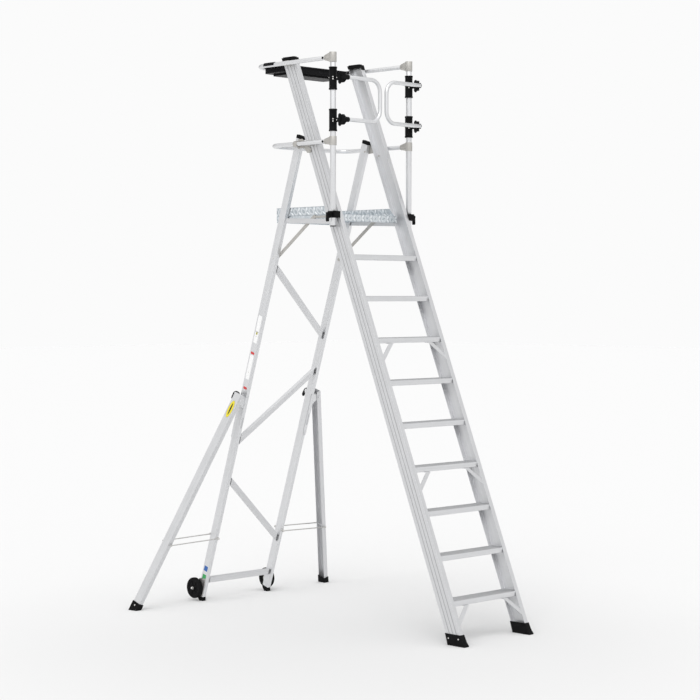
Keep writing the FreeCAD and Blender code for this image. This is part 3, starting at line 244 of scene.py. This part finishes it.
def galvanised(name):
    """Galvanised sheet: crystal spangles in cool greys, with a soft waviness whose pale patches are painted
    highlights.
    """
    s = Shader(name, Metallic=0.8)
    grey = s.add("ShaderNodeRGBToBW", {"Color": s.cells(130.0, "Color")}).outputs[0]
    wave = s.noise(24.0, 3.0, roughness=0.55)
    tone = s.blend(s.span(grey, 0.0, 1.0, 0.2, 0.8), (0.60, 0.655, 0.695), (0.74, 0.785, 0.82))
    # pale wave patches are painted highlights; the same waves also bump the sheet
    tone = s.blend(s.span(wave, 0.0, 0.5, 0.35, 0.7), tone, (0.82, 0.86, 0.885))
    waved = s.bump(wave, depth=0.0015, strength=0.5)
    return s.wire(tone, s.span(grey, 0.24, 0.42), s.bump(grey, depth=0.0003, strength=0.35, under=waved))


def embossed_sheet(name):
    """The same sheet where it is embossed: paler on the raised lugs and along soft waves as painted highlight, duller
    in the dishes as painted shade.
    """
    s = Shader(name, Metallic=0.7)
    raised = s.add("ShaderNodeAttribute", attribute_name="raised").outputs["Fac"]
    wave, fine = s.noise(24.0, 3.0, roughness=0.55), s.noise(420.0, 3.0, roughness=0.6)
    # painted shade in the dishes and painted highlight on the lugs, following the relief's height
    tone = s.blend(s.span(raised, 0.0, 1.0, 0.0, 0.8), (0.44, 0.485, 0.52), (0.90, 0.93, 0.95))
    # pale wave patches are painted highlights
    tone = s.blend(s.span(wave, 0.0, 0.35, 0.35, 0.7), tone, (0.80, 0.84, 0.87))
    tone = s.blend(s.span(fine, 0.0, 0.25, 0.45, 0.75), tone, (0.50, 0.54, 0.57))
    waved = s.bump(wave, depth=0.0012, strength=0.4)
    return s.wire(tone, s.vary(fine, 0.26, 0.42), s.bump(fine, depth=0.0002, strength=0.35, under=waved))


def moulded(name, base, rough, grain_size, depth, scuffed):
    """Moulded black plastic or rubber: fine spark texture, faint paler scuffs."""
    s = Shader(name, Metallic=0.0, Specular_IOR_Level=0.07)
    grain, patch = s.noise(grain_size, 3.0, roughness=0.6), s.noise(38.0, 4.0, roughness=0.6)
    tone = s.blend(s.span(patch, 0.0, 1.0, 0.3, 0.72), base, tuple(v + scuffed for v in base))
    gloss = s.math("ADD", s.vary(patch, *rough), s.vary(grain, -0.05, 0.05))
    return s.wire(tone, gloss, s.bump(grain, depth, strength=0.6))


def printed(name, colour):
    """A plain vinyl sticker: one colour with a faint unevenness, no lettering."""
    s = Shader(name, Metallic=0.0, Specular_IOR_Level=0.4, Coat_Weight=0.2, Coat_Roughness=0.25)
    patch = s.noise(90.0, 3.0)
    tone = s.blend(s.vary(patch, 0.0, 1.0), tuple(v * 0.9 for v in colour), colour)
    return s.wire(tone, s.vary(patch, 0.35, 0.5), s.bump(patch, depth=0.00005, strength=0.3))


# ------------------------------------------------------------------ materials on the CAD nodes
def brace_line(node, up):
    """Direction of a brace on the rear frame; up is 1 where it rises to the right, else -1."""
    low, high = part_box(node)
    size = high - low
    return Vector((size.x, -up * size.y, up * size.z)).normalized()


def outrigger_line(side):
    return (UP_LEG * math.cos(OUT_SPREAD) - ACROSS * SIDES[side] * math.sin(OUT_SPREAD)).normalized()


CAST, PLATED, SHEET = cast("cast_aluminium"), plated("zinc_plated_steel"), galvanised("galvanised_sheet")
BRIGHT, EMBOSSED = plated("bright_zinc", 1.3), embossed_sheet("embossed_sheet")
BLACK = moulded("black_plastic", (0.0035, 0.0035, 0.004), (0.34, 0.50), 1100.0, 0.00015, 0.005)
RUBBER = moulded("black_rubber", (0.004, 0.004, 0.0045), (0.52, 0.70), 700.0, 0.0003, 0.005)
TYRE = moulded("tyre_rubber", (0.0045, 0.0045, 0.005), (0.50, 0.66), 500.0, 0.0003, 0.005)
TRAY = moulded("tray_plastic", (0.006, 0.006, 0.007), (0.36, 0.50), 800.0, 0.0002, 0.006)
TUBE = extruded("drawn_tube", UP, TUBE_ALUMINIUM, POLISHED)
# painted shade goes into the stiles' grooves and onto the treads' tops
STILE = extruded("stile_aluminium", UP_STILE, painted_shade=painted_groove_shade)
LEG = extruded("leg_aluminium", UP_LEG, LEG_ALUMINIUM)
TREAD = extruded("tread_aluminium", ACROSS, TREAD_ALUMINIUM, painted_shade=painted_top_shade)

LOOK = {"stile": STILE, "tread": TREAD, "rear_leg": LEG, "bottom_bar": extruded("bar_aluminium", ACROSS),
        "platform_side_bars": extruded("side_bar_aluminium", DEPTH), "platform_braces": CAST,
        "knee_braces": extruded("knee_brace_aluminium", UP), "stile_boot": RUBBER, "leg_feet": RUBBER,
        "outrigger_foot": RUBBER, "end_caps": BLACK, "platform_deck": SHEET, "toe_boards": SHEET,
        "wheel_bracket": PLATED, "wheel_hub": BLACK, "tyre": TYRE, "outrigger_slider": LEG,
        "outrigger_latch": BLACK, "outrigger_stays": PLATED, "post": TUBE, "top_rail": TUBE, "mid_rail": TUBE,
        "rail_castings": CAST, "rail_brackets": CAST, "hinge_sleeves": BLACK, "gate_tube": TUBE,
        "gate_hinge": BLACK, "tool_tray": TRAY, "post_clamps": BLACK, "clamp_lever": BLACK,
        "frame_fasteners": BRIGHT}
for level, up in (("upper", -1.0), ("middle", 1.0), ("lower", -1.0)):
    node = "cross_brace_" + level
    LOOK[node] = extruded(node + "_aluminium", brace_line(node, up))
for side in SIDES:
    LOOK["outrigger_" + side] = extruded("outrigger_aluminium_" + side, outrigger_line(side))

SHARP_EDGE = 0.0005
SOFT_EDGE = {RUBBER: 0.0016, BLACK: 0.0010, TRAY: 0.0014, TYRE: 0.0012, CAST: 0.0012}


def look_of(node):
    """The material of the longest name that the node starts with."""
    keys = [k for k in LOOK if node == k or node.startswith(k + "_")]
    return LOOK[max(keys, key=len)]


for name, obj in NODES.items():
    material = look_of(name)
    obj.data.materials.clear()
    obj.data.materials.append(material)
    weld = obj.modifiers.new("weld", "WELD")
    weld.merge_threshold = 0.00001
    bevel = obj.modifiers.new("soft_edges", "BEVEL")
    bevel.width, bevel.segments = SOFT_EDGE.get(material, SHARP_EDGE), 2
    bevel.limit_method, bevel.angle_limit = "ANGLE", math.radians(34.0)
    bevel.harden_normals = True


# ------------------------------------------------------------------ points and shapes
def on_leg(side, s, n=0.0, out=0.0):
    """Point on a rear leg: s up the leg, n to the rear of its middle, out from its outer face."""
    return LEG_MID + UP_LEG * s + LEG_REAR * n + ACROSS * SIDES[side] * (LEG_OUT_X + out)


def on_outrigger(side, p, q):
    """Point in the middle of an outrigger's depth: p outwards and q up from its top pivot."""
    cos, sin = math.cos(OUT_SPREAD), math.sin(OUT_SPREAD)
    return (LEG_MID + ACROSS * SIDES[side] * (PIVOT_U + p * cos - q * sin)
            + UP_LEG * (PIVOT_S + p * sin + q * cos))


def outrigger_frame(side):
    """Directions outwards across and up an outrigger."""
    pivot = on_outrigger(side, 0.0, 0.0)
    return (on_outrigger(side, 1.0, 0.0) - pivot).normalized(), (on_outrigger(side, 0.0, 1.0) - pivot).normalized()


def circle(across, up, steps):
    return [(across * math.cos(math.tau * i / steps), up * math.sin(math.tau * i / steps)) for i in range(steps)]


def round_corners(half_w, half_h, corner):
    """Rim of a rectangle with round corners."""
    rim = []
    for quarter, (cx, cy) in enumerate(((1, 1), (-1, 1), (-1, -1), (1, -1))):
        for i in range(7):
            turn = math.radians(90.0 * quarter + 15.0 * i)
            rim.append(((half_w - corner) * cx + corner * math.cos(turn),
                        (half_h - corner) * cy + corner * math.sin(turn)))
    return rim


class Shape:
    """Gathers the faces of one piece, then puts it in the scene."""

    def __init__(self):
        self.bm, self.raised = bmesh.new(), []

    def turned(self, place, axis, rings, steps=24):
        """Solid of revolution through rings of (radius, height along the axis)."""
        turn = Vector(axis).to_track_quat("Z", "Y")
        loops = []
        for radius, height in rings:
            spots = circle(radius, radius, steps) if radius else [(0.0, 0.0)]
            loops.append([self.bm.verts.new(place + turn @ Vector((x, y, height))) for x, y in spots])
        for below, above in zip(loops, loops[1:]):
            for i in range(steps):
                ring = [below[i % len(below)], below[(i + 1) % len(below)],
                        above[(i + 1) % len(above)], above[i % len(above)]]
                self.bm.faces.new(list(dict.fromkeys(ring)))

    def dome(self, place, axis, radius, tall, sunk=0.0005):
        self.turned(place, axis, [(0.0, -sunk), (radius, -sunk), (radius, tall * 0.15), (radius * 0.93, tall * 0.45),
                                  (radius * 0.72, tall * 0.76), (radius * 0.38, tall * 0.95), (0.0, tall)])

    def socket_head(self, place, axis, radius, tall, sunk=0.002):
        self.turned(place, axis, [(0.0, -sunk), (radius, -sunk), (radius, tall * 0.8), (radius * 0.90, tall),
                                  (radius * 0.50, tall), (radius * 0.44, tall * 0.45), (0.0, tall * 0.38)])

    def plate(self, rim, middle, right, up, thick, sunk=0.0002):
        """Thin plate with a rim of (right, up) offsets from its middle; it faces along right x up."""
        face = right.cross(up).normalized()
        self.prism(*([middle + right * x + up * y + face * h for x, y in rim] for h in (-sunk, thick)))

    def prism(self, low, high):
        """Closed solid between two rims that have as many points."""
        low, high = ([self.bm.verts.new(spot) for spot in rim] for rim in (low, high))
        self.bm.faces.new(list(reversed(low)))
        self.bm.faces.new(high)
        for i in range(len(low)):
            j = (i + 1) % len(low)
            self.bm.faces.new((low[i], low[j], high[j], high[i]))

    def relief(self, start, across, wide, tall, height, slant=0.0):
        """Upright sheet with a raised pattern, a height at each (x, y); it faces along across x UP.

        slant moves its starting edge along across for each metre up."""
        face = across.cross(UP).normalized()
        cols, rows = round(wide / RELIEF_STEP), max(2, round(tall / RELIEF_STEP))
        grid = []
        for j in range(rows + 1):
            y = tall * j / rows
            begin = slant * y
            line = []
            for i in range(cols + 1):
                x = begin + (wide - begin) * i / cols
                edge = max(0.0, min(1.0, min(x - begin, wide - x, y, tall - y) / RELIEF_EDGE))
                rise = height(x, y) * edge
                self.raised.append(rise / LUG_TALL)
                line.append(self.bm.verts.new(start + across * x + UP * y + face * (RELIEF_LIFT + rise)))
            grid.append(line)
        for j in range(rows):
            for i in range(cols):
                self.bm.faces.new((grid[j][i], grid[j][i + 1], grid[j + 1][i + 1], grid[j + 1][i]))

    def done(self, name, material, body, slot, solid=0.0, bevel=0.0):
        """Put the piece in the scene: solid thickens a sheet, and bevel rounds a solid's edges."""
        if not solid:
            bmesh.ops.recalc_face_normals(self.bm, faces=self.bm.faces)
        mesh = bpy.data.meshes.new(name)
        for face in self.bm.faces:
            face.smooth = True
        self.bm.to_mesh(mesh)
        self.bm.free()
        mesh.materials.append(material)
        if self.raised:
            mesh.attributes.new("raised", "FLOAT", "POINT").data.foreach_set("value", self.raised)
        obj = bpy.data.objects.new(name, mesh)
        bpy.context.scene.collection.objects.link(obj)
        if solid:
            thick = obj.modifiers.new("thickness", "SOLIDIFY")
            thick.thickness, thick.offset = solid, -1.0
        elif bevel:
            soft = obj.modifiers.new("soft_edges", "BEVEL")
            soft.width, soft.segments, soft.harden_normals = bevel, 2, True
        else:
            obj.modifiers.new("edges", "EDGE_SPLIT").split_angle = math.radians(40.0)
        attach(obj, body)


# ------------------------------------------------------------------ bolts, screws and rivets
SLEEVE_SCREWS = ((225.0, -0.0075), (225.0, 0.0075), (138.0, 0.004), (312.0, 0.004))  # bearing, height from the middle
HINGE_SCREW_X, HINGE_SCREW_Y = 0.009, -0.047    # from the post's axis
AXLE_CAP_SUNK = 0.004
FOOT_RIVET_OUT, FOOT_RIVET_UP = 0.0240, 0.036   # on the outrigger's boot

caps, screws = Shape(), Shape()
for side, k in SIDES.items():
    out = ACROSS * k
    for z in RAIL_BOLT_HEIGHTS:
        caps.dome(Vector((k * (RAIL_X + RAIL_BOLT_OUT), RAIL_BOLT_Y, z)), out, radius=0.0085, tall=0.007, sunk=0.004)
    post = Vector((k * POST_X, POST_Y, 0.0))
    for middle in HINGE_HEIGHTS:
        for bearing, z in SLEEVE_SCREWS:
            facing = Vector((math.cos(math.radians(bearing)), math.sin(math.radians(bearing)), 0.0))
            screws.socket_head(post + facing * SLEEVE_R + UP * (middle + z), facing, radius=0.0046, tall=0.0022)
        screws.socket_head(post + Vector((k * HINGE_SCREW_X, HINGE_SCREW_Y, middle)), out, radius=0.0042, tall=0.0020)
    axle_end = Vector((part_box("wheel_bracket_" + side)[0 if k < 0 else 1].x, WHEEL_Y, WHEEL_Z))
    screws.dome(axle_end - out * AXLE_CAP_SUNK, out, radius=0.0082, tall=0.0056)
caps.done("rail_bolt_caps", BLACK, "frame", "black_plastic")
screws.done("sleeve_screws", BRIGHT, "frame", "steel_fitting")
for side in SIDES:
    rivet = Shape()
    low_end = -PIVOT_S / math.cos(OUT_SPREAD)
    rivet.dome(on_outrigger(side, FOOT_RIVET_OUT, low_end + FOOT_RIVET_UP), outrigger_frame(side)[0],
               radius=0.0056, tall=0.0014)
    rivet.done("outrigger_foot_rivet_" + side, BRIGHT, "outrigger_arm_" + side, "steel_fitting")

# ------------------------------------------------------------------ plain stickers, no lettering
STICKER_T, STICKER_CORNER, BADGE_STEPS = 0.00018, 0.004, 48
STICKERS = (  # height up the left leg, half width, half height, colour, layers of sticker below
    ("sticker_white_high", 2.203, 0.019, 0.059, WHITE, 0), ("sticker_white_mid", 2.095, 0.019, 0.040, WHITE, 0),
    ("sticker_white_low", 1.868, 0.019, 0.092, WHITE, 0), ("sticker_red_high", 1.976, 0.019, 0.009, RED, 0),
    ("sticker_red_low", 1.706, 0.019, 0.009, RED, 0), ("sticker_olive", 2.128, 0.008, 0.010, OLIVE, 1),
    ("sticker_blue", 0.262, 0.019, 0.020, BLUE, 0), ("sticker_green", 0.178, 0.019, 0.036, GREEN, 0))
BADGE_OUT, BADGE_UP = 0.018, -0.084             # on the left outrigger, from its top pivot
BADGE = (  # half width, half height, colour, thickness
    ("badge_rim", 0.026, 0.068, RIM_GREY, 0.0003), ("badge_field", 0.023, 0.065, FIELD_YELLOW, 0.0006),
    ("badge_bar", 0.007, 0.046, BAR_BLACK, 0.0009))

for name, height, half_w, half_h, colour, layers in STICKERS:
    mark = Shape()
    mark.plate(round_corners(half_w, half_h, STICKER_CORNER), on_leg("left", height, out=layers * STICKER_T),
               -LEG_REAR, UP_LEG, STICKER_T)
    mark.done(name, printed(name, colour), "frame", "aluminium_extrusion")
outward, upward = outrigger_frame("left")
for name, half_w, half_h, colour, thick in BADGE:
    mark = Shape()
    mark.plate(circle(half_w, half_h, BADGE_STEPS), on_outrigger("left", BADGE_OUT, BADGE_UP),
               upward.cross(outward).normalized(), upward, thick)
    mark.done(name, printed(name, colour), "outrigger_arm_left", "aluminium_extrusion")

# ------------------------------------------------------------------ moulded bodies of the outrigger latches
LATCH_SIDE = ((1.6535, 0.038), (1.658, 0.050), (1.657, 0.074), (1.644, 0.090), (1.606, 0.101), (1.590, 0.101),
              (1.590, 0.090), (1.620, 0.078), (1.630, 0.058), (1.636, 0.038))   # up the leg, to its rear
LATCH_OUT = (0.0048, 0.0206)                    # from the leg's outer face
for side in SIDES:
    body = Shape()
    body.prism(*([on_leg(side, s, n, out) for s, n in LATCH_SIDE] for out in LATCH_OUT))
    body.done("latch_body_" + side, BLACK, "latch_" + side, "black_plastic", bevel=0.0015)


# ------------------------------------------------------------------ embossed sheet on the deck's lip and toe boards
def embossed(x, y, middle, tall):
    """Round dishes in a row, with slanting lugs above and below the gaps between them."""
    step = (x - middle) % DISH_PITCH
    dx, dy = step - DISH_PITCH * round(step / DISH_PITCH), y - tall / 2.0
    reach = math.hypot(dx, dy)
    height = 0.5 * LUG_TALL * max(0.0, 1.0 - ((reach - DISH_R) / DISH_RIM) ** 2)
    gap = step - DISH_PITCH / 2.0
    for k in (-1.0, 1.0):
        off = dy - k * tall * 0.25
        along, aside = (gap + k * off) * math.sqrt(0.5), (gap - k * off) * math.sqrt(0.5)
        height = max(height, LUG_TALL * max(0.0, 1.0 - (along / LUG_LONG) ** 2 - (aside / LUG_WIDE) ** 2))
    return height


def finish_relief(sheet, name):
    sheet.done(name, EMBOSSED, "frame", "galvanised_sheet", solid=RELIEF_SKIN)


def front_relief(name, start, wide, tall):
    """Embossed sheet that faces the front."""
    sheet = Shape()
    sheet.relief(start, ACROSS, wide, tall, lambda x, y: embossed(x, y, wide / 2.0, tall))
    finish_relief(sheet, name)


def side_relief(name, x, faces_right):
    """Embossed sheet on a side toe board, whose front edge slants back as it rises."""
    def pattern(along, y):
        return embossed(along, y, BOARD_LONG / 2.0, BOARD_TALL)

    sheet = Shape()
    if faces_right:             # it runs to the rear, from the slanting edge
        sheet.relief(Vector((x, BOARD_FRONT, BOARD_LOW)), DEPTH, BOARD_LONG, BOARD_TALL, pattern, FRONT_SLANT)
    else:                       # it runs to the front, and is pressed together to end at the slanting edge
        sheet.relief(Vector((x, BOARD_REAR, BOARD_LOW)), -DEPTH, BOARD_LONG, BOARD_TALL,
                     lambda along, y: pattern(along, y) * (along < BOARD_LONG - FRONT_SLANT * y))
        for v in sheet.bm.verts:
            share = (BOARD_LONG - FRONT_SLANT * (v.co.z - BOARD_LOW)) / BOARD_LONG
            v.co.y = BOARD_REAR - (BOARD_REAR - v.co.y) * share
    finish_relief(sheet, name)


front_relief("deck_lip_relief", Vector((DECK_LOW.x, LIP_FRONT, DECK_TOP - LIP_TALL)), DECK_HIGH.x - DECK_LOW.x,
             LIP_TALL)
for side, k in SIDES.items():
    side_relief("toe_relief_outer_" + side, k * TOE_HIGH.x, k > 0)
    side_relief("toe_relief_inner_" + side, k * (TOE_HIGH.x - SHEET_T), k < 0)
front_relief("toe_relief_rear", Vector((TOE_LOW.x + SHEET_T, BOARD_REAR, DECK_TOP)),
             TOE_HIGH.x - TOE_LOW.x - 2.0 * SHEET_T, BOARD_TALL - BOARD_SUNK)

# ------------------------------------------------------------------ camera, floor and light
CAMERA_AT, CAMERA_TILT, CAMERA_TURN = (-9.4218, -9.4657, 2.2924), math.radians(88.358), math.radians(-44.802)
LENS_MM, SENSOR_MM, FAR_CLIP = 96.03, 36.0, 200.0
FLOOR_HALF, FLOOR_SHADE_CENTRE = 60.0, (-0.9, -0.9, 0.0)      # painted shade makes the floor greyest around its centre
# painted shade: the floor's tone at its centre, its tone far away, and the distances of the ramp between
FLOOR_SHADED_TONE, FLOOR_FAR, FLOOR_RAMP = 0.75, 0.832, (0.3, 3.9)
BACKDROP = 0.965
SKY_LOW, SKY_HIGH = 0.72, 1.12
SKY_BRIGHT_SIDE, SKY_BEHIND, SKY_FRONT = (-0.7071, -0.7071, 0.0), 0.55, 1.45
SUN_TOWARDS, SUN_POWER, SUN_SPREAD = (0.55, 0.35, -0.76), 0.75, math.radians(40.0)


def place_in_scene(name, data):
    obj = bpy.data.objects.new(name, data)
    bpy.context.scene.collection.objects.link(obj)
    return obj


def make_camera():
    eye = bpy.data.cameras.new("camera")
    eye.lens, eye.sensor_width, eye.clip_end = LENS_MM, SENSOR_MM, FAR_CLIP
    camera = place_in_scene("camera", eye)
    camera.location, camera.rotation_euler = CAMERA_AT, (CAMERA_TILT, 0.0, CAMERA_TURN)
    bpy.context.scene.camera = camera
    bpy.context.scene.view_settings.view_transform = "Standard"


def make_floor():
    """A pale floor with painted shade: a little greyer in front of the ladder than far away."""
    mesh = bpy.data.meshes.new("floor")
    corners = [(x * FLOOR_HALF, y * FLOOR_HALF, 0.0) for x, y in ((-1, -1), (1, -1), (1, 1), (-1, 1))]
    mesh.from_pydata(corners, [], [(0, 1, 2, 3)])
    floor = place_in_scene("floor", mesh)
    s = Shader("floor_paint", Metallic=0.0, Specular_IOR_Level=0.0, Roughness=1.0)
    reach = s.add("ShaderNodeVectorMath", {0: s.place, 1: FLOOR_SHADE_CENTRE}, operation="DISTANCE").outputs["Value"]
    grain = s.vary(s.noise(0.6, 2.0), -0.004, 0.004)
    amount = s.math("ADD", s.span(reach, 0.0, 1.0, *FLOOR_RAMP, "SMOOTHSTEP"), grain)
    mesh.materials.append(s.wire(s.blend(amount, (FLOOR_SHADED_TONE,) * 3, (FLOOR_FAR,) * 3)))


def make_world():
    """A pale studio: bright above and on one side, darker towards the horizon, with an even pale backdrop."""
    world = bpy.data.worlds.new("studio")
    bpy.context.scene.world = world
    world.use_nodes = True
    sky = Nodes(world.node_tree)
    way = sky.add("ShaderNodeTexCoord").outputs["Generated"]
    height = sky.span(sky.axis(way, "Z"), SKY_LOW, SKY_HIGH)
    side_on = sky.span(sky.along(way, SKY_BRIGHT_SIDE), SKY_BEHIND, SKY_FRONT, -1.0)
    seen = sky.add("ShaderNodeLightPath").outputs["Is Camera Ray"]
    strength = sky.add("ShaderNodeMix", {0: seen, 2: sky.math("MULTIPLY", height, side_on), 3: BACKDROP})
    back = sky.tree.nodes["Background"]
    back.inputs["Color"].default_value = (1.0, 1.0, 1.0, 1.0)
    sky.tree.links.new(strength.outputs[0], back.inputs["Strength"])


def make_sun():
    lamp = bpy.data.lights.new("key", "SUN")
    lamp.energy, lamp.angle = SUN_POWER, SUN_SPREAD
    place_in_scene("key", lamp).rotation_euler = Vector(SUN_TOWARDS).to_track_quat("-Z", "Y").to_euler()


make_camera()
make_floor()
make_world()
make_sun()
